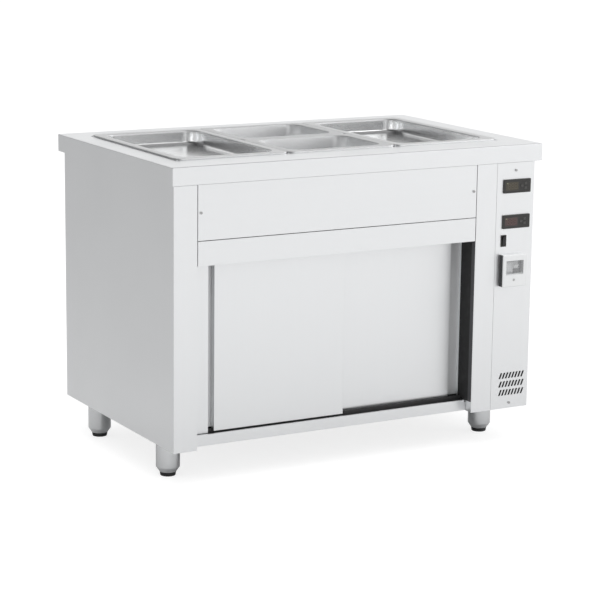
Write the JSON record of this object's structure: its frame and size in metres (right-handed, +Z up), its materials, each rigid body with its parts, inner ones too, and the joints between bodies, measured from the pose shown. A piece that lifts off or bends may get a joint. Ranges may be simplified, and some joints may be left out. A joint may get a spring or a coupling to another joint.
{
  "type": "bain-marie",
  "caption": "Free-standing stainless steel bain-marie: a water well with gastronorm pans over a heated cupboard with sliding doors, and a control column at the right",
  "frame": {"origin": "on the floor, in the middle of the whole object's width and depth", "axes": "+X to the right, towards the control column; -Y to the front, where the doors are; +Z up"},
  "size_m": [1.12, 0.737, 0.8395],
  "materials": {
    "stainless": "brushed along the panels",
    "pan_steel": "bright, pressed",
    "door_steel": "brushed upright",
    "inner_steel": "plain mill finish",
    "heater_sheath": "heat-tinted",
    "plumbing_brass": "dull",
    "black_plastic": "fine grain",
    "key_plastic": "smooth",
    "box_plastic": "smooth",
    "window_plastic": "smoked, shiny",
    "switchgear_plastic": "smooth",
    "toggle_plastic": "smooth",
    "black_rubber": "matte",
    "fan_aluminium": "plain",
    "motor_paint": "satin"
  },
  "bodies": {
    "cabinet": {"worktop": "stainless", "well_tank": "pan_steel", "heating_element": "heater_sheath", "drain_pipe": "plumbing_brass", "drain_valve": "plumbing_brass", "divider_bar_left": "pan_steel", "divider_bar_right": "pan_steel", "divider_bar_cross": "pan_steel", "side_panel_left": "stainless", "side_panel_right": "stainless", "back_panel": "inner_steel", "base_panel": "inner_steel", "front_post_left": "stainless", "front_post_right": "stainless", "jamb_seals": "black_rubber", "apron_panel": "stainless", "header_rail": "stainless", "bottom_rail": "stainless", "liner_left": "inner_steel", "liner_right": "inner_steel", "liner_back": "inner_steel", "liner_ceiling": "inner_steel", "shelf": "inner_steel", "shelf_rails": "inner_steel", "door_track": "inner_steel", "bottom_guide": "black_plastic", "column_panel": "stainless", "well_controller": "black_plastic", "cupboard_controller": "black_plastic", "rocker_frame": "black_plastic", "switch_box": "box_plastic", "breaker": "switchgear_plastic", "fan_motor": "motor_paint", "air_heater": "heater_sheath", "fan_cover": "inner_steel", "contactors": "switchgear_plastic", "cable_gland": "black_plastic", "panel_screws": "stainless", "leg_sleeves": "stainless"},
    "pan_left": {"pan_left": "pan_steel"},
    "pan_middle_front": {"pan_middle_front": "pan_steel"},
    "pan_middle_rear": {"pan_middle_rear": "pan_steel"},
    "pan_right": {"pan_right": "pan_steel"},
    "door_left": {"door_left": "door_steel"},
    "door_right": {"door_right": "door_steel"},
    "drain_lever": {"drain_lever": "plumbing_brass"},
    "well_key_set": {"well_key_set": "key_plastic"},
    "well_key_up": {"well_key_up": "key_plastic"},
    "well_key_down": {"well_key_down": "key_plastic"},
    "cupboard_key_set": {"cupboard_key_set": "key_plastic"},
    "cupboard_key_up": {"cupboard_key_up": "key_plastic"},
    "cupboard_key_down": {"cupboard_key_down": "key_plastic"},
    "rocker_switch": {"rocker_switch": "black_plastic"},
    "switch_window": {"switch_window": "window_plastic"},
    "breaker_toggle": {"breaker_toggle": "toggle_plastic"},
    "fan_impeller": {"fan_impeller": "fan_aluminium"},
    "foot_pad_front_left": {"foot_pad_front_left": "black_rubber"},
    "foot_pad_rear_left": {"foot_pad_rear_left": "black_rubber"},
    "foot_pad_front_right": {"foot_pad_front_right": "black_rubber"},
    "foot_pad_rear_right": {"foot_pad_rear_right": "black_rubber"}
  },
  "joints": [
    {"name": "pan_left_lift", "type": "slide", "parent": "cabinet", "child": "pan_left", "axis": [0, 0, 1], "range_m": [0, 0.25]},
    {"name": "pan_middle_front_lift", "type": "slide", "parent": "cabinet", "child": "pan_middle_front", "axis": [0, 0, 1], "range_m": [0, 0.25]},
    {"name": "pan_middle_rear_lift", "type": "slide", "parent": "cabinet", "child": "pan_middle_rear", "axis": [0, 0, 1], "range_m": [0, 0.25]},
    {"name": "pan_right_lift", "type": "slide", "parent": "cabinet", "child": "pan_right", "axis": [0, 0, 1], "range_m": [0, 0.25]},
    {"name": "door_left_slide", "type": "slide", "parent": "cabinet", "child": "door_left", "axis": [1, 0, 0], "range_m": [-0.015, 0.348]},
    {"name": "door_right_slide", "type": "slide", "parent": "cabinet", "child": "door_right", "axis": [1, 0, 0], "range_m": [-0.338, 0.001]},
    {"name": "drain_lever_turn", "type": "hinge", "parent": "cabinet", "child": "drain_lever", "pos_m": [0.407, 0.2265, 0.078], "axis": [0, -1, 0], "range_deg": [0, 90]},
    {"name": "well_key_set_press", "type": "slide", "parent": "cabinet", "child": "well_key_set", "axis": [0, 1, 0], "range_m": [0, 0.0007], "stiffness_N_per_m": 300},
    {"name": "well_key_up_press", "type": "slide", "parent": "cabinet", "child": "well_key_up", "axis": [0, 1, 0], "range_m": [0, 0.0007], "stiffness_N_per_m": 300},
    {"name": "well_key_down_press", "type": "slide", "parent": "cabinet", "child": "well_key_down", "axis": [0, 1, 0], "range_m": [0, 0.0007], "stiffness_N_per_m": 300},
    {"name": "cupboard_key_set_press", "type": "slide", "parent": "cabinet", "child": "cupboard_key_set", "axis": [0, 1, 0], "range_m": [0, 0.0007], "stiffness_N_per_m": 300},
    {"name": "cupboard_key_up_press", "type": "slide", "parent": "cabinet", "child": "cupboard_key_up", "axis": [0, 1, 0], "range_m": [0, 0.0007], "stiffness_N_per_m": 300},
    {"name": "cupboard_key_down_press", "type": "slide", "parent": "cabinet", "child": "cupboard_key_down", "axis": [0, 1, 0], "range_m": [0, 0.0007], "stiffness_N_per_m": 300},
    {"name": "rocker_tilt", "type": "hinge", "parent": "cabinet", "child": "rocker_switch", "pos_m": [0.4406, -0.3475, 0.574], "axis": [1, 0, 0], "range_deg": [-18, 0]},
    {"name": "window_swing", "type": "hinge", "parent": "cabinet", "child": "switch_window", "pos_m": [0.4691, -0.367, 0.5186], "axis": [-1, 0, 0], "range_deg": [0, 90]},
    {"name": "breaker_toggle_tilt", "type": "hinge", "parent": "cabinet", "child": "breaker_toggle", "pos_m": [0.47936, -0.354, 0.5005], "axis": [1, 0, 0], "range_deg": [0, 76]},
    {"name": "fan_spin", "type": "hinge", "parent": "cabinet", "child": "fan_impeller", "pos_m": [0.368, 0.0315, 0.224], "axis": [1, 0, 0], "continuous": true},
    {"name": "foot_front_left_screw", "type": "slide", "parent": "cabinet", "child": "foot_pad_front_left", "axis": [0, 0, 1], "range_m": [-0.025, 0]},
    {"name": "foot_rear_left_screw", "type": "slide", "parent": "cabinet", "child": "foot_pad_rear_left", "axis": [0, 0, 1], "range_m": [-0.025, 0]},
    {"name": "foot_front_right_screw", "type": "slide", "parent": "cabinet", "child": "foot_pad_front_right", "axis": [0, 0, 1], "range_m": [-0.025, 0]},
    {"name": "foot_rear_right_screw", "type": "slide", "parent": "cabinet", "child": "foot_pad_rear_right", "axis": [0, 0, 1], "range_m": [-0.025, 0]}
  ]
}
